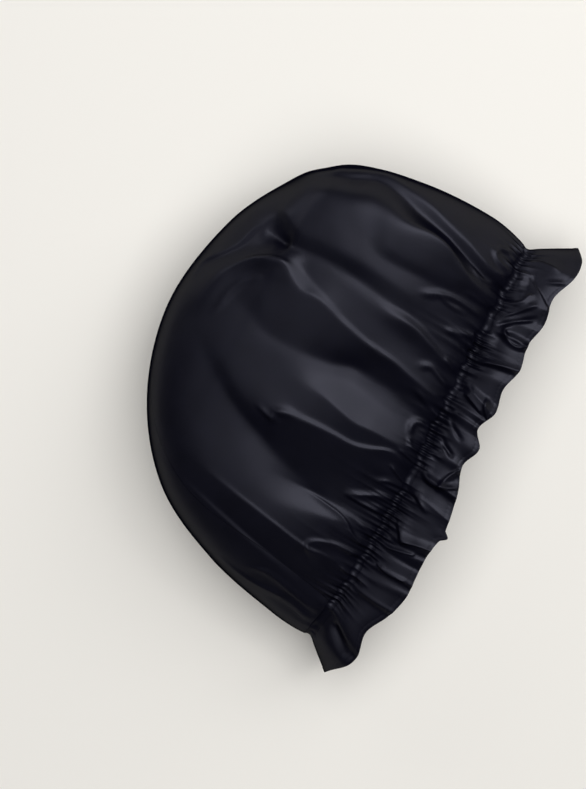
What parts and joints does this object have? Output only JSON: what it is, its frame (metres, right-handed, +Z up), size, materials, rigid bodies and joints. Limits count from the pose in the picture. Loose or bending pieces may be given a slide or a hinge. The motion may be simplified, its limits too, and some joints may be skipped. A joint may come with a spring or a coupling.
{
  "type": "sleep bonnet",
  "caption": "Dark satin sleep bonnet lying on its side: puffed seamed crown, gathered elastic channel and flared frill, open at the mouth.",
  "frame": {"origin": "on the table under the middle of the bonnet's plan, as it lies on its side", "axes": "+X along the mouth from end to end, +Y from the mouth to the top of the crown, +Z up"},
  "size_m": [0.271, 0.1924, 0.0848],
  "materials": {
    "satin": "dark satin with a soft sheen",
    "satin_channel": "dark satin gathered over elastic",
    "satin_frill": "dark satin with a stitched narrow hem"
  },
  "bodies": {
    "root": {"upper_panel": "satin", "lower_panel": "satin", "elastic_channel": "satin_channel", "frill": "satin_frill"}
  },
  "joints": []
}
